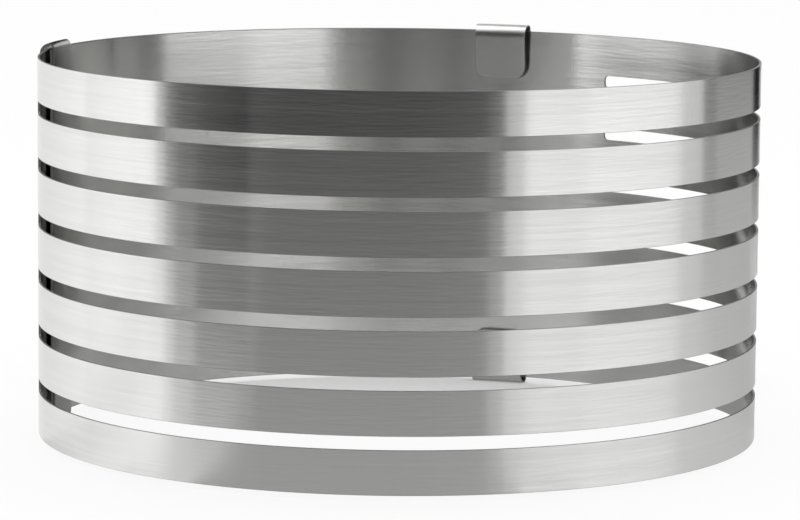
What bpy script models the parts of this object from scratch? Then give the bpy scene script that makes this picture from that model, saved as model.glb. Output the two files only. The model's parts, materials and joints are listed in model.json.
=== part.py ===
"""An adjustable ring that guides a knife level through a cake.

One strip of spring steel is rolled a turn and a quarter, so that its two solid ends lie over each other at
the back. Six rows of slots run round the rest and leave seven bands. A folded clip at the top and the bottom
of each end hooks over the other layer and lets it slide, which sets the ring's diameter.

The strip bends as the ring opens. Here it is a chain of short sections that turn on upright hinge lines, and
each slotted section is seven bands. Lengths are in metres, and +Z is up. Places along the strip are measured
from the middle of its slots, clockwise as seen from above, towards the outer end.
"""

import math

import bmesh
import bpy
from mathutils import Vector

# Ring
RING_RADIUS = 0.081
MIDDLE_ANGLE = math.radians(-60)
LAYER_GAP = 0.0009

# Strip
STRIP_THICKNESS = 0.0005
STRIP_HEIGHT = 0.085
SLOTTED_LENGTH = 0.318
SOLID_END_LENGTH = 0.170
SLOT_ROWS = 6
SLOT_HEIGHT = 0.0029
SLOT_CORNER_RADIUS = 0.001

# Sections that stand for the strip's bending
SECTION_GAP = 0.0003
FINGER_LENGTH = 0.0113
BAND_SECTIONS = 5
END_SECTIONS = 4

# Clips
CLIP_THICKNESS = 0.0004
CLIP_WIDTH = 0.013
CLIP_INSET = 0.0005
CLIP_LEG = 0.0115
CLIP_CORNER_RADIUS = 0.003
CLIP_RISE = 0.00145
CLIP_SEAT_GAP = 0.0003
CLIP_TIP_CLEARANCE = 0.0011
SEAT_BEND_RADIUS = 0.001
HOOK_BEND_RADIUS = 0.0021
OUTWARD_HOOK_STANDOFF = 0.0015
INWARD_HOOK_STANDOFF = 0.0018

# Fineness of the curves
FACET_LENGTH = 0.005
CORNER_FACETS = 4
BEND_FACETS = 5
SHARP_ANGLE = math.radians(35)

# Colours
STRIP_COLOUR = (0.62, 0.62, 0.60, 1)
CLIP_COLOUR = (0.56, 0.56, 0.54, 1)
STRIP_ROUGHNESS = 0.3
CLIP_ROUGHNESS = 0.36

LAYER_PITCH = STRIP_THICKNESS + LAYER_GAP
BAND_HEIGHT = (STRIP_HEIGHT - SLOT_ROWS * SLOT_HEIGHT) / (SLOT_ROWS + 1)
STRIP_BASE = CLIP_RISE
STRIP_TOP = STRIP_BASE + STRIP_HEIGHT
SLOT_END = SLOTTED_LENGTH / 2
STRIP_END = SLOT_END + SOLID_END_LENGTH
BANDED_END = SLOT_END - FINGER_LENGTH

INNER, OUTER = -1, 1
SECTION_LETTERS = "abcdefghij"


def rolled(along, offset, height):
    """The point at a place along the strip, at an outward offset from its mid-thickness."""
    turn = along / RING_RADIUS
    radius = RING_RADIUS + LAYER_PITCH * turn / math.tau + offset
    angle = MIDDLE_ANGLE - turn
    return Vector((radius * math.cos(angle), radius * math.sin(angle), height))


def between(start, end, count):
    """count + 1 evenly spaced values from start to end."""
    return [start + (end - start) * step / count for step in range(count + 1)]


def corner_steps(radius):
    """Distances from a side at which a rounded corner has its facets, and how far it cuts in at each."""
    angles = between(0, math.pi / 2, CORNER_FACETS)
    return [(radius * (1 - math.cos(a)), radius * (1 - math.sin(a))) for a in angles]


# The strip's shape


def slot_inset(along):
    """How far each edge of a slot has closed in at this place, on the rounded corners of its ends."""
    into_corner = abs(along) - (SLOT_END - SLOT_CORNER_RADIUS)
    into_corner = min(max(into_corner, 0), SLOT_CORNER_RADIUS)
    return SLOT_CORNER_RADIUS - math.sqrt(SLOT_CORNER_RADIUS**2 - into_corner**2)


def edge_heights(along):
    """Heights of the strip's bottom edge, of each slot's two edges and of its top edge."""
    inset = slot_inset(along)
    heights = [STRIP_BASE]
    for row in range(SLOT_ROWS):
        lower = STRIP_BASE + (row + 1) * BAND_HEIGHT + row * SLOT_HEIGHT
        heights += [lower + inset, lower + SLOT_HEIGHT - inset]
    return heights + [STRIP_TOP]


def is_slot(row, along):
    """Rows of cells alternate between bands and slots, and past the slots' ends every row is solid."""
    return row % 2 == 1 and abs(along) < SLOT_END


def band_heights(band):
    """The two edges of one band, counted from the bottom."""
    return lambda along: edge_heights(along)[2 * band : 2 * band + 2]


def whole_height(along):
    return [STRIP_BASE, STRIP_TOP]


def plate(stations, heights_at):
    """A closed piece of the strip, as cells between stations along it and heights up it."""
    mesh = bmesh.new()
    sides = (-STRIP_THICKNESS / 2, STRIP_THICKNESS / 2)
    corners = [
        [[mesh.verts.new(rolled(along, side, z)) for side in sides] for z in heights_at(along)]
        for along in stations
    ]
    cells = {
        (i, j)
        for i in range(len(stations) - 1)
        for j in range(len(corners[0]) - 1)
        if not is_slot(j, (stations[i] + stations[i + 1]) / 2)
    }
    for i, j in sorted(cells):
        inner = [corners[i][j][0], corners[i + 1][j][0], corners[i + 1][j + 1][0], corners[i][j + 1][0]]
        outer = [corners[i][j][1], corners[i + 1][j][1], corners[i + 1][j + 1][1], corners[i][j + 1][1]]
        mesh.faces.new(inner)
        mesh.faces.new(outer)
        neighbours = [(i, j - 1), (i + 1, j), (i, j + 1), (i - 1, j)]
        for k, neighbour in enumerate(neighbours):
            if neighbour not in cells:
                after = (k + 1) % 4
                mesh.faces.new([inner[k], inner[after], outer[after], outer[k]])
    return mesh


def facet_stations(start, end):
    return between(start, end, max(2, round((end - start) / FACET_LENGTH)))


def comb_stations(start, end):
    """Stations of a section that holds the slots' ends, with closer ones on their rounded corners."""
    slot_end = math.copysign(SLOT_END, start)
    inward = -math.copysign(1, start)
    corner = [slot_end + inward * cut for cut, _ in corner_steps(SLOT_CORNER_RADIUS)]
    low, high = min(corner), max(corner)
    return facet_stations(start, low)[:-1] + sorted(corner) + facet_stations(high, end)[1:]


# The clips' shape


def hook_lean(tip, centre):
    """The angle past the vertical at which the hook leg leaves its bend, so as to end at its tip."""
    across, down = tip[0] - centre[0], centre[1] - tip[1]
    return math.atan2(down, across) - math.acos(HOOK_BEND_RADIUS / math.hypot(across, down))


def clip_path(standoff, trim):
    """The clip's mid-thickness from seat leg to hook tip, each point with its outward direction.

    Points are (across, up): across from the seat leg towards the hook leg, up from the strip's edge. Both
    legs are shortened by trim.
    """
    far_face = STRIP_THICKNESS + CLIP_SEAT_GAP + CLIP_THICKNESS / 2 + LAYER_PITCH
    tip = (far_face + CLIP_TIP_CLEARANCE + CLIP_THICKNESS / 2, -CLIP_LEG)
    crown = CLIP_RISE - CLIP_THICKNESS / 2
    seat_centre = (SEAT_BEND_RADIUS, crown - SEAT_BEND_RADIUS)
    hook_centre = (far_face + standoff + CLIP_THICKNESS / 2 - HOOK_BEND_RADIUS, crown - HOOK_BEND_RADIUS)
    lean = hook_lean(tip, hook_centre)

    path = [(0, trim - CLIP_LEG, math.pi)]
    for angle in between(math.pi, math.pi / 2, BEND_FACETS):
        path.append(on_circle(seat_centre, SEAT_BEND_RADIUS, angle))
    for angle in between(math.pi / 2, -lean, BEND_FACETS):
        path.append(on_circle(hook_centre, HOOK_BEND_RADIUS, angle))
    path.append((tip[0] + trim * math.sin(lean), tip[1] + trim * math.cos(lean), -lean))
    return path


def on_circle(centre, radius, angle):
    return (centre[0] + radius * math.cos(angle), centre[1] + radius * math.sin(angle), angle)


def clip_columns():
    """Distances from one side of the clip, each with how much the legs' rounded corners shorten them."""
    near = corner_steps(CLIP_CORNER_RADIUS)
    far = [(CLIP_WIDTH - across, trim) for across, trim in reversed(near)]
    return near + far


def clip_mesh(end, upward):
    """A clip at one end of the strip, over its top edge if upward is 1 and under its bottom if -1."""
    outward = -end
    standoff = OUTWARD_HOOK_STANDOFF if outward > 0 else INWARD_HOOK_STANDOFF
    seat = (STRIP_THICKNESS + CLIP_THICKNESS) / 2 + CLIP_SEAT_GAP
    edge = STRIP_TOP if upward > 0 else STRIP_BASE
    mesh = bmesh.new()
    loops = []
    for inward, trim in clip_columns():
        faces = []
        for side in (CLIP_THICKNESS / 2, -CLIP_THICKNESS / 2):
            for across, up, angle in clip_path(standoff, trim):
                across += side * math.cos(angle)
                up += side * math.sin(angle)
                along = end * (STRIP_END - CLIP_INSET - inward)
                faces.append(rolled(along, outward * (across - seat), edge + upward * up))
        half = len(faces) // 2
        loops.append([mesh.verts.new(point) for point in faces[:half] + faces[:half - 1:-1]])
    count = len(loops[0])
    for first, second in zip(loops, loops[1:]):
        for k in range(count):
            after = (k + 1) % count
            mesh.faces.new([first[k], first[after], second[after], second[k]])
    for loop in (loops[0], loops[-1]):
        for k in range(count // 2 - 1):
            mesh.faces.new([loop[k], loop[k + 1], loop[count - 2 - k], loop[count - 1 - k]])
    return mesh


# Objects


def steel(name, colour, roughness):
    material = bpy.data.materials.new(name)
    material.use_nodes = True
    shader = material.node_tree.nodes["Principled BSDF"]
    shader.inputs["Base Color"].default_value = colour
    shader.inputs["Metallic"].default_value = 1
    shader.inputs["Roughness"].default_value = roughness
    return material


def empty(name, at, parent=None):
    marker = bpy.data.objects.new(name, None)
    marker.empty_display_size = STRIP_HEIGHT / 4
    bpy.context.scene.collection.objects.link(marker)
    marker.parent = parent
    marker.location = at - (parent.matrix_world.translation if parent else Vector())
    bpy.context.view_layer.update()
    return marker


def piece(name, mesh, material, hinge):
    """An object whose origin is on its section's hinge line."""
    bmesh.ops.translate(mesh, verts=mesh.verts, vec=-hinge.matrix_world.translation)
    bmesh.ops.recalc_face_normals(mesh, faces=mesh.faces)
    data = bpy.data.meshes.new(name)
    mesh.to_mesh(data)
    mesh.free()
    data.shade_smooth()
    data.set_sharp_from_angle(angle=SHARP_ANGLE)
    data.materials.append(material)
    obj = bpy.data.objects.new(name, data)
    bpy.context.scene.collection.objects.link(obj)
    obj.parent = hinge
    return obj


def section_limits():
    """Each section's name, start and end, in order from the strip's inner end to its outer end."""
    end_marks = between(BANDED_END, STRIP_END, END_SECTIONS)
    band_marks = between(-BANDED_END, BANDED_END, BAND_SECTIONS)
    end_names = ["comb"] + [f"plate_{END_SECTIONS - 1 - k}" for k in range(END_SECTIONS - 1)]
    outer = [
        (f"outer_end_{name}", start, end)
        for name, start, end in zip(end_names, end_marks, end_marks[1:])
    ]
    inner = [
        (f"inner_end_{name}", -end, -start)
        for name, start, end in zip(end_names, end_marks, end_marks[1:])
    ]
    slotted = [
        (f"section_{letter}", start, end)
        for letter, start, end in zip(SECTION_LETTERS, band_marks, band_marks[1:])
    ]
    return inner[::-1] + slotted + outer


def hinge_chain(sections, ring):
    """An empty on each section's hinge line, a child of the section nearer the front, and the front one."""
    front = len(sections) // 2
    hinges = {front: ring}
    for index in range(front + 1, len(sections)):
        name, start, _ = sections[index]
        hinges[index] = empty(f"hinge_{name}", rolled(start, 0, 0), hinges[index - 1])
    for index in range(front - 1, -1, -1):
        name, _, end = sections[index]
        hinges[index] = empty(f"hinge_{name}", rolled(end, 0, 0), hinges[index + 1])
    return [hinges[index] for index in range(len(sections))]


def strip_pieces(section, hinge, material):
    """The bands of a slotted section, or the one plate of a solid or partly slotted section."""
    name, start, end = section
    start += SECTION_GAP / 2 if start > -STRIP_END else 0
    end -= SECTION_GAP / 2 if end < STRIP_END else 0
    if name.endswith("comb"):
        return [piece(name, plate(comb_stations(start, end), edge_heights), material, hinge)]
    stations = facet_stations(start, end)
    if not name.startswith("section"):
        return [piece(name, plate(stations, whole_height), material, hinge)]
    return [
        piece(f"band_{band + 1}_{name}", plate(stations, band_heights(band)), material, hinge)
        for band in range(SLOT_ROWS + 1)
    ]


def centre_footprint(ring, pieces):
    """Moves the ring so that its outline seen from above is centred on the origin."""
    corners = [obj.matrix_world @ vertex.co for obj in pieces for vertex in obj.data.vertices]
    for axis in (0, 1):
        values = [corner[axis] for corner in corners]
        ring.location[axis] = -(min(values) + max(values)) / 2


def main():
    for obj in list(bpy.data.objects):
        bpy.data.objects.remove(obj)

    strip_steel = steel("strip_steel", STRIP_COLOUR, STRIP_ROUGHNESS)
    clip_steel = steel("clip_steel", CLIP_COLOUR, CLIP_ROUGHNESS)
    ring = empty("ring", Vector())
    sections = section_limits()
    hinges = hinge_chain(sections, ring)

    pieces = []
    for section, hinge in zip(sections, hinges):
        pieces += strip_pieces(section, hinge, strip_steel)
    for end, end_name, hinge in ((INNER, "inner_end", hinges[0]), (OUTER, "outer_end", hinges[-1])):
        for upward, edge_name in ((1, "top"), (-1, "bottom")):
            name = f"{end_name}_{edge_name}_clip"
            pieces.append(piece(name, clip_mesh(end, upward), clip_steel, hinge))

    bpy.context.view_layer.update()
    centre_footprint(ring, pieces)


main()
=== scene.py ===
"""The looks of the adjustable cake leveler ring: a brushed steel strip, its four clips and a white studio.

Both the strip and the clips are made as the real ones are: cut flat from sheet, with their edges
rounded, then folded or rolled. Lengths are in metres, and +Z is up. Places along the strip are measured
from the middle of its slots, clockwise as seen from above, towards the outer end.
"""

import json
import math

import bmesh
import bpy
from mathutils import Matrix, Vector


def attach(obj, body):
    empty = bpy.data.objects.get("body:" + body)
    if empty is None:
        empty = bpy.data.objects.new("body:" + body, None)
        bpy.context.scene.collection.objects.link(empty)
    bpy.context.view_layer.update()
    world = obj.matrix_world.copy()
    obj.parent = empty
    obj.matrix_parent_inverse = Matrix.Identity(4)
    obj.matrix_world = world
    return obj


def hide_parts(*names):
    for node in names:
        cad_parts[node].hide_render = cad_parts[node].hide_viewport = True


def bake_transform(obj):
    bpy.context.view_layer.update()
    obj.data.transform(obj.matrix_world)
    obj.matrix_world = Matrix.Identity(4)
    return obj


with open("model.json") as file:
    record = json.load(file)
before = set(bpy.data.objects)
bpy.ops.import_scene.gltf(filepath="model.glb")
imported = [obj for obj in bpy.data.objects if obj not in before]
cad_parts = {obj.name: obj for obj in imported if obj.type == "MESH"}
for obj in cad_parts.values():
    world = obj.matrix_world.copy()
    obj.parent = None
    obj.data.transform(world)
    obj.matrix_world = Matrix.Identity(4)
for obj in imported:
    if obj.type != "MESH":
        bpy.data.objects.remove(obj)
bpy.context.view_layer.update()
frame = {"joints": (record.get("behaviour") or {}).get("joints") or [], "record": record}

# Strip, as the solids have it but for its layers, which lie closer together
RING_RADIUS = 0.081
MIDDLE_ANGLE = math.radians(-60)
STRIP_THICKNESS = 0.0005
LAYER_PITCH = STRIP_THICKNESS + 0.0005
SOLIDS_LAYER_PITCH = STRIP_THICKNESS + 0.0009
STRIP_HEIGHT = 0.085
SLOT_END = 0.318 / 2
STRIP_END = SLOT_END + 0.170
BANDED_END = SLOT_END - 0.0113
SLOT_ROWS = 6
SLOT_HEIGHT = 0.0029
SLOT_CORNER_RADIUS = 0.001
BAND_HEIGHT = (STRIP_HEIGHT - SLOT_ROWS * SLOT_HEIGHT) / (SLOT_ROWS + 1)
BAND_SECTIONS = 5
END_SECTIONS = 4
SECTION_LETTERS = "abcde"

# Clips, as the solids have them but pressed onto the strip, the outer end's with a rounder hook
CLIP_THICKNESS = 0.0004
CLIP_WIDTH = 0.013
CLIP_INSET = 0.0005
CLIP_LEG = 0.0115
CLIP_CORNER_RADIUS = 0.003
CLIP_RISE = 0.00145
CLIP_SEAT_GAP = 0.00002
CLIP_TIP_CLEARANCE = 0.0009
SEAT_BEND_RADIUS = 0.0009
OUTWARD_HOOK_STANDOFF = 0.0011
OUTWARD_HOOK_RADIUS = 0.0021
INWARD_HOOK_STANDOFF = 0.0018
INWARD_HOOK_RADIUS = 0.0026

STRIP_BASE = CLIP_RISE
STRIP_TOP = STRIP_BASE + STRIP_HEIGHT

# Surface of the sheet
EDGE_ROUND = 0.00008
EDGE_STEPS = 2
COLUMN_LENGTH = 0.00125
SEAM_COLUMN = 0.00005
BAND_ROWS = 4
CROSS_CURL_RADIUS = 0.27
CURL_FADE_LENGTH = 0.010
CORNER_STEPS = 6
BEND_STEPS = 10
CLIP_GRID = 0.0004
CLIP_CORNER_ROW = 0.0032
CLIP_MIDDLE_COLUMNS = 16
WELD_RADIUS = 0.0013
WELD_DEPTH = 0.00007
WELD_PLACES = ((0.0035, 0.0045), (0.0095, 0.0045))
SEAM_TOLERANCE = 0.000008
SHARP_ANGLE = math.radians(14)
RIM_ANGLE = math.radians(60)
RIM_FACING = 0.95

# Camera
CAMERA_PLACE = (0.00425, -0.94993, 0.16899)
CAMERA_TURN = (math.radians(82.278), math.radians(-0.485), math.radians(0.249))
CAMERA_LENS = 190.0
CAMERA_SENSOR = 36.0

# Studio
WHITE = (1.0, 1.0, 1.0, 1)
FLOOR_COLOUR = (0.86, 0.86, 0.86, 1)
FLOOR_ROUGHNESS = 0.9
FLOOR_SIZE = 8.0
FLOOR_GLOW_SHARE = 0.85
SHADED_GLOW_SHARE = 0.15
SHADE_PLACE = (0.0, 0.080, 0.0)
SHADE_REACH = (0.11, 0.06, 1.0)
SHADE_SOFTNESS = 0.6
WORLD_STRENGTH = 1.0
LAMP_PLACE = (0.0, 0.1, 1.2)
LAMP_SIZE = 0.9
LAMP_POWER = 3.0

# Upright cards: sides in degrees from straight in front, distance from the ring's axis, height, their glow
# at the foot, the heights between which it changes, and their glow above
CARDS = (
    ("front_left_edge_card", -64.6, -61.5, 0.19, 0.45, 1.2, 0.0, 0.110, 0.0),
    ("front_left_fade_card", -61.5, -58.5, 0.19, 0.45, 0.95, 0.0, 0.070, 0.04),
    ("front_left_card", -58.5, -52, 0.19, 0.45, 0.55, 0.0, 0.070, 0.0),
    ("front_middle_left_card", -52, -37, 0.19, 0.45, 0.28, 0.0, 0.070, 0.0),
    ("front_card", -37, 22, 0.19, 0.45, 0.35, 0.0, 0.085, 0.0),
    ("front_middle_right_card", 22, 26, 0.19, 0.45, 0.6, 0.0, 0.085, 0.0),
    ("front_right_fade_card", 26, 31, 0.19, 0.45, 1.0, 0.0, 0.085, 0.45),
    ("left_rear_card", -180, -156, 0.3, 0.5, 0.5, 0.0, 0.07, 0.0),
    ("left_far_card", -156, -130, 3.0, 3.0, 1.8, 0.25, 0.5, 0.4),
    ("left_side_card", -130, -114, 3.0, 3.0, 1.6, 0.25, 0.5, 1.2),
    ("left_middle_card", -114, -87, 3.0, 3.0, 0.6, 0.25, 0.5, 2.6),
    ("left_soft_card", -87, -62, 3.0, 3.0, 1.1, 0.25, 0.5, 2.3),
    ("left_shade_card", -62, -40, 3.0, 3.0, 0.0, 0.0, 3.0, 0.1),
    ("right_near_card", 20, 60, 3.0, 3.0, 1.3, 0.0, 3.0, 2.6),
    ("right_soft_card", 60, 98, 3.0, 3.0, 1.7, 0.0, 3.0, 1.9),
    ("right_shade_card", 98, 112, 3.0, 3.0, 1.5, 0.15, 0.3, 0.05),
    ("side_card", 97.5, 105, 0.3, 0.5, 0.85, 0.0, 0.070, 0.1),
    ("rear_card", 105, 134, 0.3, 0.5, 0.6, 0.045, 0.090, 0.0),
    ("edge_card", 134, 136.5, 0.3, 0.5, 0.6, 0.045, 0.090, 0.08),
    ("corner_card", 136.5, 149, 0.3, 0.5, 1.0, 0.0, 0.045, 0.0),
)
# Floor cards, a painted reflection of the floor that only the steel sees, darker inside the ring and in front
# of it as painted shade: sides, inner and outer radius, and their glow
FLOOR_CARDS = (
    # Painted shade: dark sheets inside the ring stand in for the shaded floor there as the steel reflects it
    ("inner_front_painted_shade_card", -90, 90, 0.0, 0.0812, 0.11),
    ("inner_middle_floor_card", 90, 270, 0.0, 0.045, 0.85),
    ("inner_rear_painted_shade_card", 90, 270, 0.045, 0.0812, 0.36),
    ("front_left_floor_card", -64, -50, 0.0813, 0.19, 0.95),
    ("front_left_soft_floor_card", -50, -34, 0.0813, 0.19, 0.78),
    ("front_floor_card", -34, 20, 0.0813, 0.19, 0.45),
    ("front_right_floor_card", 20, 30, 0.0813, 0.19, 0.6),
    ("left_floor_card", -180, -81, 0.0813, 3.0, 1.05),
    ("left_middle_floor_card", -81, -64, 0.0813, 3.0, 0.85),
    ("right_floor_card", 30, 97, 0.0813, 3.0, 0.72),
    ("rear_floor_card", 97, 180, 0.0813, 3.0, 0.66),
)
FLOOR_CARD_HEIGHT = 0.0003
CARD_STEPS = 36

# Steel: waves are so many a metre, along the sheet and up it, and a tint is that of glancing reflections
STRIP_STEEL = {
    "colour": (0.80, 0.80, 0.785, 1),
    "tint": 0.8,
    "roughness": 0.226,
    "streak_waves": (14, 900),
    "grain_waves": (140, 1800),
    "grain_depth": 0.000018,
}
CLIP_STEEL = {
    "colour": (0.75, 0.75, 0.735, 1),
    "tint": 0.45,
    "roughness": 0.24,
    "streak_waves": (30, 700),
    "grain_waves": (90, 4200),
    "grain_depth": 0.000004,
}
BRUSHED_ANISOTROPY = 0.95
BRUSHING_TURN = 0.25
BRUSHED_DULL_SHARE = 0.91
BRUSHED_ROUGHNESS_SPREAD = 0.03
STREAK_DETAIL = 3
GRAIN_DETAIL = 2
RIM_COLOUR = (0.30, 0.30, 0.29, 1)
RIM_DULL_SHARE = 0.75
RIM_ROUGHNESS = 0.5
RIM_ROUGHNESS_SPREAD = 0.05
CUT_WAVES = (2500, 2500)
CUT_DETAIL = 2


def between(start, end, count):
    """count + 1 evenly spaced values from start to end."""
    return [start + (end - start) * step / count for step in range(count + 1)]


def smooth(value):
    """A smooth step from 0 to 1 as value goes from 0 to 1."""
    value = min(max(value, 0), 1)
    return value * value * (3 - 2 * value)


def spiral(along, offset, height, pitch=LAYER_PITCH):
    """The point at a place along the strip, about the ring's own axis."""
    turn = along / RING_RADIUS
    radius = RING_RADIUS + pitch * turn / math.tau + offset
    angle = MIDDLE_ANGLE - turn
    return Vector((radius * math.cos(angle), radius * math.sin(angle), height))


def ring_axis():
    """Where the ring's axis stands, from the hinge at the end of the front section."""
    hinge = next(joint for joint in frame["joints"] if joint["name"] == "ring_opening")
    place = Vector(hinge["pos_m"]) - spiral(BANDED_END / BAND_SECTIONS, 0, 0, SOLIDS_LAYER_PITCH)
    return Vector((place.x, place.y, 0))


RING_AXIS = ring_axis()


def rolled(along, offset, height):
    return RING_AXIS + spiral(along, offset, height)


# Flat sheet


def corner_steps(radius):
    """Distances from a side at which a rounded corner has its facets, and how far it cuts in at each."""
    angles = between(0, math.pi / 2, CORNER_STEPS)
    return [(radius * (1 - math.cos(a)), radius * (1 - math.sin(a))) for a in angles]


def flat_sheet(columns, levels_at, is_cut, thickness):
    """A closed flat sheet along X, with holes, as cells between its columns and its levels."""
    mesh = bmesh.new()
    sides = (-thickness / 2, thickness / 2)
    corners = [[[mesh.verts.new((x, y, z)) for y in sides] for z in levels_at(x)] for x in columns]
    cells = {
        (i, j)
        for i in range(len(columns) - 1)
        for j in range(len(corners[0]) - 1)
        if not is_cut(j, (columns[i] + columns[i + 1]) / 2)
    }
    for i, j in sorted(cells):
        square = (corners[i][j], corners[i + 1][j], corners[i + 1][j + 1], corners[i][j + 1])
        mesh.faces.new([corner[0] for corner in square])
        mesh.faces.new([corner[1] for corner in reversed(square)])
        for k, neighbour in enumerate([(i, j - 1), (i + 1, j), (i, j + 1), (i - 1, j)]):
            if neighbour not in cells:
                first, second = square[k], square[(k + 1) % 4]
                mesh.faces.new([first[1], second[1], second[0], first[0]])
    loose = [vert for vert in mesh.verts if not vert.link_faces]
    bmesh.ops.delete(mesh, geom=loose, context="VERTS")
    return mesh


def round_edges(mesh, seams):
    """Rounds every edge of the sheet but those on its seams, where it goes on as another piece."""

    def on_seam(edge):
        return any(all(abs(vert.co.x - seam) < SEAM_TOLERANCE for vert in edge.verts) for seam in seams)

    rims = [edge for edge in mesh.edges if edge.calc_face_angle(0) > RIM_ANGLE and not on_seam(edge)]
    bmesh.ops.bevel(mesh, geom=rims, offset=EDGE_ROUND, segments=EDGE_STEPS, profile=0.5, affect="EDGES")


def lay_out(mesh):
    """A UV map in metres: U along the sheet and V up it, sheared so that its rims have some width."""
    layer = mesh.loops.layers.uv.new("sheet")
    for face in mesh.faces:
        for loop in face.loops:
            x, y, z = loop.vert.co
            loop[layer].uv = (x + y + STRIP_END, z + y)


def finished(name, mesh, shape, materials):
    """The flat sheet brought to its shape, as an object. Its rims have the second material."""
    lay_out(mesh)
    mesh.normal_update()
    for face in mesh.faces:
        face.material_index = 0 if abs(face.normal.y) > RIM_FACING else 1
    for vert in mesh.verts:
        vert.co = shape(*vert.co)
    bmesh.ops.recalc_face_normals(mesh, faces=mesh.faces)
    data = bpy.data.meshes.new(name)
    mesh.to_mesh(data)
    mesh.free()
    data.shade_smooth()
    data.set_sharp_from_angle(angle=SHARP_ANGLE)
    for material in materials:
        data.materials.append(material)
    obj = bpy.data.objects.new(name, data)
    bpy.context.scene.collection.objects.link(obj)
    return obj


# The strip


def slot_inset(along):
    """How far each edge of a slot has closed in at this place, on the rounded corners of its ends."""
    into_corner = abs(along) - (SLOT_END - SLOT_CORNER_RADIUS)
    into_corner = min(max(into_corner, 0), SLOT_CORNER_RADIUS)
    return SLOT_CORNER_RADIUS - math.sqrt(SLOT_CORNER_RADIUS**2 - into_corner**2)


def strip_levels(along):
    """The rows up the strip: each band has the same number, and each slot is one."""
    inset = slot_inset(along)
    levels = []
    for band in range(SLOT_ROWS + 1):
        low = STRIP_BASE + band * (BAND_HEIGHT + SLOT_HEIGHT)
        high = low + BAND_HEIGHT
        low -= inset if band > 0 else 0
        high += inset if band < SLOT_ROWS else 0
        levels += between(low, high, BAND_ROWS)
    return levels


def is_slot(row, along):
    return row % (BAND_ROWS + 1) == BAND_ROWS and abs(along) < SLOT_END


def cross_curl(along, height):
    """How far a band's edges stand out past its middle: sheet bent one way curls the other way across it."""
    pitch = BAND_HEIGHT + SLOT_HEIGHT
    from_middle = (height - STRIP_BASE) % pitch - BAND_HEIGHT / 2
    from_middle = min(abs(from_middle), BAND_HEIGHT / 2)
    share = 1 - smooth((abs(along) - SLOT_END + CURL_FADE_LENGTH) / CURL_FADE_LENGTH)
    return share * from_middle**2 / (2 * CROSS_CURL_RADIUS)


def strip_columns(start, end, seams):
    """Places of the columns: even ones, close ones on the slots' rounded ends, a narrow one at each seam."""
    marks = {start, end}
    for slot_end in (-SLOT_END, SLOT_END):
        inward = -math.copysign(1, slot_end)
        corner = [slot_end + inward * cut for cut, _ in corner_steps(SLOT_CORNER_RADIUS)]
        marks |= {place for place in corner if start < place < end}
    beside_seams = [seam + step for seam in seams for step in (-SEAM_COLUMN, SEAM_COLUMN)]
    marks |= {place for place in beside_seams if start < place < end}
    marks = sorted(marks)
    columns = []
    for low, high in zip(marks, marks[1:]):
        columns += between(low, high, max(1, round((high - low) / COLUMN_LENGTH)))[:-1]
    return columns + [end]


def strip_piece(name, start, end, seams, materials):
    mesh = flat_sheet(strip_columns(start, end, seams), strip_levels, is_slot, STRIP_THICKNESS)
    round_edges(mesh, seams)

    def shape(along, offset, height):
        return rolled(along, offset + cross_curl(along, height), height)

    return finished(name, mesh, shape, materials)


def section_middles():
    """The body and the middle of each section, in order from the strip's inner end to its outer end."""
    end_marks = between(BANDED_END, STRIP_END, END_SECTIONS)
    band_marks = between(-BANDED_END, BANDED_END, BAND_SECTIONS)
    end_names = ["comb"] + [f"plate_{END_SECTIONS - 1 - k}" for k in range(END_SECTIONS - 1)]
    ends = [(name, (low + high) / 2) for name, low, high in zip(end_names, end_marks, end_marks[1:])]
    inner = [(f"inner_end_{name}", -middle) for name, middle in reversed(ends)]
    outer = [(f"outer_end_{name}", middle) for name, middle in ends]
    slotted = [
        (f"section_{letter}", (low + high) / 2)
        for letter, low, high in zip(SECTION_LETTERS, band_marks, band_marks[1:])
    ]
    return inner + slotted + outer


def nodes_on(body):
    """The strip's solids on one body."""
    return frame["record"]["behaviour"]["bodies"][body]


def make_strip(materials):
    """The strip in pieces that each reach across one hinge, and a stiff tip at each end."""
    middles = section_middles()
    for (body, middle), (next_body, next_middle) in zip(middles, middles[1:]):
        name = f"strip_{body}_to_{next_body}"
        piece = strip_piece(name, middle, next_middle, (middle, next_middle), materials)
        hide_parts(*[node for b in (body, next_body) for node in nodes_on(b) if "clip" not in node])
        rolled(middle, 0, 0)
        rolled(next_middle, 0, 0)
        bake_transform(piece)
    for end, (body, middle) in ((-1, middles[0]), (1, middles[-1])):
        start, stop = sorted((middle, end * STRIP_END))
        tip = strip_piece(f"strip_tip_{body}", start, stop, (middle,), materials)
        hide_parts(*[node for node in nodes_on(body) if "clip" not in node])
        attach(tip, body)


# The clips


def clip_fold(standoff, hook_radius):
    """The stretches of the clip's mid-thickness, each as its length, its start, its first angle and its turn.

    Places are (across, up): across from the seat leg towards the hook leg, up from the strip's edge. An
    angle is that of the outward direction, which only a bend turns.
    """
    far_face = STRIP_THICKNESS + CLIP_SEAT_GAP + CLIP_THICKNESS / 2 + LAYER_PITCH
    tip = Vector((far_face + CLIP_TIP_CLEARANCE + CLIP_THICKNESS / 2, -CLIP_LEG))
    crown = CLIP_RISE - CLIP_THICKNESS / 2
    hook_middle = Vector((far_face + standoff + CLIP_THICKNESS / 2 - hook_radius, crown - hook_radius))
    reach = tip - hook_middle
    lean = math.atan2(-reach.y, reach.x) - math.acos(hook_radius / reach.length)
    leg = math.sqrt(reach.length**2 - hook_radius**2)
    seat_top = crown - SEAT_BEND_RADIUS
    hook_turn = math.pi / 2 + lean
    return [
        (CLIP_LEG + seat_top, Vector((0, -CLIP_LEG)), math.pi, 0),
        (SEAT_BEND_RADIUS * math.pi / 2, Vector((0, seat_top)), math.pi, SEAT_BEND_RADIUS),
        (hook_middle.x - SEAT_BEND_RADIUS, Vector((SEAT_BEND_RADIUS, crown)), math.pi / 2, 0),
        (hook_radius * hook_turn, Vector((hook_middle.x, crown)), math.pi / 2, hook_radius),
        (leg, tip - leg * Vector((-math.sin(lean), -math.cos(lean))), -lean, 0),
    ]


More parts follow.
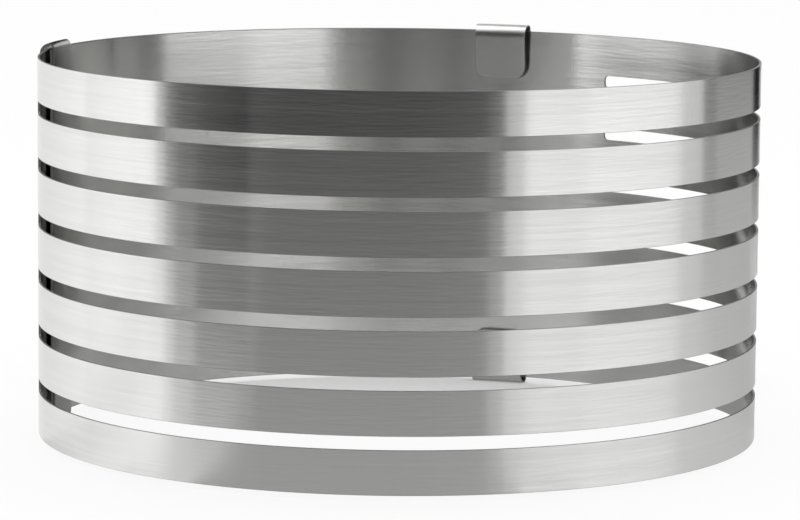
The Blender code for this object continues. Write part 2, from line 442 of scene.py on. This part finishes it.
def folded(fold, length, side):
    """Where a point of the flat clip comes to lie: at a length along it, to one side of its middle."""
    for stretch, start, angle, radius in fold:
        if length <= stretch or (stretch, start, angle, radius) == fold[-1]:
            break
        length -= stretch
    if radius:
        middle = start - radius * Vector((math.cos(angle), math.sin(angle)))
        angle -= length / radius
        return middle + (radius + side) * Vector((math.cos(angle), math.sin(angle)))
    outward = Vector((math.cos(angle), math.sin(angle)))
    onward = Vector((outward.y, -outward.x))
    return start + onward * length + outward * side


def clip_levels(fold):
    """Rows along the flat clip: one past the rounded corners of each leg, and fine ones between."""
    total = sum(stretch for stretch, _, _, _ in fold)
    levels = [0]
    start = 0
    for stretch, _, _, radius in fold:
        low = max(start, CLIP_CORNER_ROW)
        high = min(start + stretch, total - CLIP_CORNER_ROW)
        count = BEND_STEPS if radius else max(1, round((high - low) / CLIP_GRID))
        levels += between(low, high, count)[:-1]
        start += stretch
    return levels + [total - CLIP_CORNER_ROW, total]


def weld_dimple(across, length):
    """How deep a weld's dimple is at this place on the seat leg."""
    distances = [math.hypot(across - x, length - y) for x, y in WELD_PLACES]
    return WELD_DEPTH * (1 - smooth(min(distances) / WELD_RADIUS))


def clip_piece(name, end, upward, materials):
    """A clip at one end of the strip, over its top edge if upward is 1 and under its bottom if -1."""
    outward = -end
    if outward > 0:
        fold = clip_fold(OUTWARD_HOOK_STANDOFF, OUTWARD_HOOK_RADIUS)
    else:
        fold = clip_fold(INWARD_HOOK_STANDOFF, INWARD_HOOK_RADIUS)
    rows = clip_levels(fold)
    near = corner_steps(CLIP_CORNER_RADIUS)
    far = [(CLIP_WIDTH - across, trim) for across, trim in reversed(near)]
    trims = dict(near + far)
    middle = between(CLIP_CORNER_RADIUS, CLIP_WIDTH - CLIP_CORNER_RADIUS, CLIP_MIDDLE_COLUMNS)
    columns = [across for across, _ in near] + middle[1:-1] + [across for across, _ in far]
    seat = (STRIP_THICKNESS + CLIP_THICKNESS) / 2 + CLIP_SEAT_GAP
    edge = STRIP_TOP if upward > 0 else STRIP_BASE

    def levels_at(across):
        """The first and the last row follow the legs' rounded corners."""
        trim = trims.get(across, 0)
        return [trim] + rows[1:-1] + [rows[-1] - trim]

    mesh = flat_sheet(columns, levels_at, lambda row, across: False, CLIP_THICKNESS)
    round_edges(mesh, ())

    def shape(across, side, length):
        sunk = weld_dimple(across, length) if side > 0 else 0
        place = folded(fold, length, side - sunk)
        along = end * (STRIP_END - CLIP_INSET - across)
        return rolled(along, outward * (place.x - seat), edge + upward * place.y)

    return finished(name, mesh, shape, materials)


def make_clips(materials):
    for end, end_name in ((-1, "inner_end"), (1, "outer_end")):
        for upward, edge_name in ((1, "top"), (-1, "bottom")):
            node = f"{end_name}_{edge_name}_clip"
            clip = clip_piece(f"{node}_sheet", end, upward, materials)
            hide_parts(node)
            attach(clip, f"{end_name}_plate_1")


# Materials


class Shader:
    """A material's node tree, with short calls for the nodes that these materials use."""

    def __init__(self, name):
        self.material = bpy.data.materials.new(name)
        self.material.use_nodes = True
        self.tree = self.material.node_tree
        self.main = self.tree.nodes["Principled BSDF"]

    def node(self, kind, **settings):
        made = self.tree.nodes.new(kind)
        for key, value in settings.items():
            setattr(made, key, value)
        return made

    def link(self, source, target):
        self.tree.links.new(source, target)

    def stretched_noise(self, waves, detail):
        """Noise on the sheet, with so many waves a metre along it and up it."""
        uv = self.node("ShaderNodeUVMap", uv_map="sheet")
        mapping = self.node("ShaderNodeMapping")
        mapping.inputs["Scale"].default_value = (*waves, 1)
        noise = self.node("ShaderNodeTexNoise", noise_dimensions="2D")
        noise.inputs["Scale"].default_value = 1
        noise.inputs["Detail"].default_value = detail
        self.link(uv.outputs["UV"], mapping.inputs["Vector"])
        self.link(mapping.outputs["Vector"], noise.inputs["Vector"])
        return noise.outputs["Fac"]

    def shade(self, factor, dull_share, colour):
        """The base colour: the given one, and where the factor is low a duller one."""
        mix = self.node("ShaderNodeMix", data_type="RGBA")
        mix.inputs["A"].default_value = [dull_share * channel for channel in colour[:3]] + [1]
        mix.inputs["B"].default_value = colour
        self.link(factor, mix.inputs["Factor"])
        self.link(mix.outputs["Result"], self.main.inputs["Base Color"])

    def roughen(self, factor, roughness, spread):
        """The roughness, spread to both sides of its middle by the factor."""
        scaled = self.node("ShaderNodeMapRange")
        scaled.inputs["To Min"].default_value = roughness - spread
        scaled.inputs["To Max"].default_value = roughness + spread
        self.link(factor, scaled.inputs["Value"])
        self.link(scaled.outputs["Result"], self.main.inputs["Roughness"])


def brushed_steel(name, colour, tint, roughness, streak_waves, grain_waves, grain_depth):
    """Sheet brushed along its length: fine scratches spread its gloss across them."""
    shader = Shader(name)
    main = shader.main
    main.inputs["Metallic"].default_value = 1
    main.inputs["Anisotropic"].default_value = BRUSHED_ANISOTROPY
    main.inputs["Anisotropic Rotation"].default_value = BRUSHING_TURN
    main.inputs["Specular Tint"].default_value = (tint, tint, tint, 1)
    tangent = shader.node("ShaderNodeTangent", direction_type="UV_MAP", uv_map="sheet")
    shader.link(tangent.outputs["Tangent"], main.inputs["Tangent"])

    streaks = shader.stretched_noise(streak_waves, STREAK_DETAIL)
    grain = shader.stretched_noise(grain_waves, GRAIN_DETAIL)
    shader.shade(streaks, BRUSHED_DULL_SHARE, colour)
    shader.roughen(streaks, roughness, BRUSHED_ROUGHNESS_SPREAD)
    bump = shader.node("ShaderNodeBump")
    bump.inputs["Strength"].default_value = 1
    bump.inputs["Distance"].default_value = grain_depth
    shader.link(grain, bump.inputs["Height"])
    shader.link(bump.outputs["Normal"], main.inputs["Normal"])
    return shader.material


def cut_steel(name):
    """The sheet's cut edges: duller, with the fine marks of the cut."""
    shader = Shader(name)
    shader.main.inputs["Metallic"].default_value = 1
    marks = shader.stretched_noise(CUT_WAVES, CUT_DETAIL)
    shader.shade(marks, RIM_DULL_SHARE, RIM_COLOUR)
    shader.roughen(marks, RIM_ROUGHNESS, RIM_ROUGHNESS_SPREAD)
    return shader.material


# Studio


def glowing(name, colour, strength):
    """A material of even brightness."""
    material = bpy.data.materials.new(name)
    material.use_nodes = True
    tree = material.node_tree
    tree.nodes.clear()
    output = tree.nodes.new("ShaderNodeOutputMaterial")
    glow = tree.nodes.new("ShaderNodeEmission")
    glow.inputs["Color"].default_value = colour
    glow.inputs["Strength"].default_value = strength
    tree.links.new(glow.outputs["Emission"], output.inputs["Surface"])
    return material


def graded_glow(name, low_shade, high_shade, low, high):
    """A material whose brightness runs from one shade at a low height to another at a high one."""
    material = glowing(name, WHITE, 1)
    tree = material.node_tree
    place = tree.nodes.new("ShaderNodeNewGeometry")
    split = tree.nodes.new("ShaderNodeSeparateXYZ")
    grade = tree.nodes.new("ShaderNodeMapRange")
    grade.inputs["From Min"].default_value = low
    grade.inputs["From Max"].default_value = high
    grade.inputs["To Min"].default_value = low_shade
    grade.inputs["To Max"].default_value = high_shade
    tree.links.new(place.outputs["Position"], split.inputs["Vector"])
    tree.links.new(split.outputs["Z"], grade.inputs["Value"])
    tree.links.new(grade.outputs["Result"], tree.nodes["Emission"].inputs["Strength"])
    return material


def card(name, outline, material):
    """A card that only shows in the steel, as a studio's cards do. The outline is two rows of points."""
    mesh = bmesh.new()
    columns = [[mesh.verts.new(point) for point in pair] for pair in outline]
    for (low, high), (next_low, next_high) in zip(columns, columns[1:]):
        mesh.faces.new([low, next_low, next_high, high])
    data = bpy.data.meshes.new(name)
    mesh.to_mesh(data)
    mesh.free()
    data.materials.append(material)
    obj = bpy.data.objects.new(name, data)
    bpy.context.scene.collection.objects.link(obj)
    obj.visible_camera = False
    obj.visible_diffuse = False
    obj.visible_shadow = False


def round_ring(turn, distance, height):
    """A point at a turn to the right from straight in front of the ring."""
    return RING_AXIS + Vector((distance * math.sin(turn), -distance * math.cos(turn), height))


def make_cards():
    for name, start, end, distance, height, foot_glow, low, high, glow in CARDS:
        turns = between(math.radians(start), math.radians(end), CARD_STEPS)
        outline = [[round_ring(turn, distance, z) for z in (0, height)] for turn in turns]
        card(name, outline, graded_glow(f"{name}_shade", foot_glow, glow, low, high))
    # Floor cards: a painted reflection of the floor, with painted shade inside the ring and in front of it
    for name, start, end, inner, outer, glow in FLOOR_CARDS:
        turns = between(math.radians(start), math.radians(end), CARD_STEPS)
        outline = [
            [round_ring(turn, radius, FLOOR_CARD_HEIGHT) for radius in (inner, outer)] for turn in turns
        ]
        card(name, outline, glowing(f"{name}_shade", WHITE, glow))


def glow_share(tree):
    """How much of the floor's brightness is its own: most of it, but little in the shade by the rear wall."""
    place = tree.nodes.new("ShaderNodeNewGeometry")
    mapping = tree.nodes.new("ShaderNodeMapping")
    mapping.vector_type = "TEXTURE"
    mapping.inputs["Location"].default_value = SHADE_PLACE
    mapping.inputs["Scale"].default_value = SHADE_REACH
    shade = tree.nodes.new("ShaderNodeTexGradient")
    shade.gradient_type = "SPHERICAL"
    share = tree.nodes.new("ShaderNodeMapRange")
    share.interpolation_type = "SMOOTHSTEP"
    share.inputs["From Max"].default_value = SHADE_SOFTNESS
    share.inputs["To Min"].default_value = FLOOR_GLOW_SHARE
    share.inputs["To Max"].default_value = SHADED_GLOW_SHARE
    tree.links.new(place.outputs["Position"], mapping.inputs["Vector"])
    tree.links.new(mapping.outputs["Vector"], shade.inputs["Vector"])
    tree.links.new(shade.outputs["Fac"], share.inputs["Value"])
    return share.outputs["Result"]


def seen_directly(tree):
    """1 for the rays of the camera and for those that it sees in metal or through glass, otherwise 0."""
    path = tree.nodes.new("ShaderNodeLightPath")
    seen = path.outputs["Is Camera Ray"]
    for kind in ("Is Glossy Ray", "Is Transmission Ray"):
        either = tree.nodes.new("ShaderNodeMath")
        either.operation = "ADD"
        either.use_clamp = True
        tree.links.new(seen, either.inputs[0])
        tree.links.new(path.outputs[kind], either.inputs[1])
        seen = either.outputs["Value"]
    return seen


def make_floor():
    """A white floor that keeps the ring's shadow and shows as bright as the backdrop behind it."""
    bpy.ops.mesh.primitive_plane_add(size=FLOOR_SIZE)
    floor = bpy.context.object
    floor.name = "floor"
    material = bpy.data.materials.new("floor_paint")
    material.use_nodes = True
    tree = material.node_tree
    paint = tree.nodes["Principled BSDF"]
    paint.inputs["Base Color"].default_value = FLOOR_COLOUR
    paint.inputs["Roughness"].default_value = FLOOR_ROUGHNESS
    paint.inputs["Specular IOR Level"].default_value = 0
    glow = tree.nodes.new("ShaderNodeEmission")
    share = tree.nodes.new("ShaderNodeMath")
    share.operation = "MULTIPLY"
    mix = tree.nodes.new("ShaderNodeMixShader")
    tree.links.new(seen_directly(tree), share.inputs[0])
    tree.links.new(glow_share(tree), share.inputs[1])
    tree.links.new(share.outputs["Value"], mix.inputs["Fac"])
    tree.links.new(paint.outputs["BSDF"], mix.inputs[1])
    tree.links.new(glow.outputs["Emission"], mix.inputs[2])
    tree.links.new(mix.outputs["Shader"], tree.nodes["Material Output"].inputs["Surface"])
    floor.data.materials.append(material)


def make_world():
    world = bpy.data.worlds.new("studio")
    bpy.context.scene.world = world
    world.use_nodes = True
    background = world.node_tree.nodes["Background"]
    background.inputs["Color"].default_value = WHITE
    background.inputs["Strength"].default_value = WORLD_STRENGTH
    world.cycles.sampling_method = "NONE"


def make_lamp(name, place, size, power):
    """A square soft lamp that faces the ring."""
    data = bpy.data.lights.new(name, "AREA")
    data.shape = "SQUARE"
    data.size = size
    data.energy = power
    lamp = bpy.data.objects.new(name, data)
    lamp.location = place
    lamp.rotation_euler = (RING_AXIS - lamp.location).to_track_quat("-Z", "Y").to_euler()
    bpy.context.scene.collection.objects.link(lamp)


def make_camera():
    data = bpy.data.cameras.new("camera")
    data.lens = CAMERA_LENS
    data.sensor_width = CAMERA_SENSOR
    camera = bpy.data.objects.new("camera", data)
    camera.location = CAMERA_PLACE
    camera.rotation_euler = CAMERA_TURN
    bpy.context.scene.collection.objects.link(camera)
    bpy.context.scene.camera = camera


strip_steel = brushed_steel("strip_brushed", **STRIP_STEEL)
clip_steel = brushed_steel("clip_brushed", **CLIP_STEEL)
cut_edge = cut_steel("cut_edge")
make_strip((strip_steel, cut_edge))
make_clips((clip_steel, cut_edge))
make_floor()
make_world()
make_cards()
make_lamp("overhead", LAMP_PLACE, LAMP_SIZE, LAMP_POWER)
make_camera()
bpy.context.scene.view_settings.view_transform = "Standard"
bpy.context.view_layer.update()
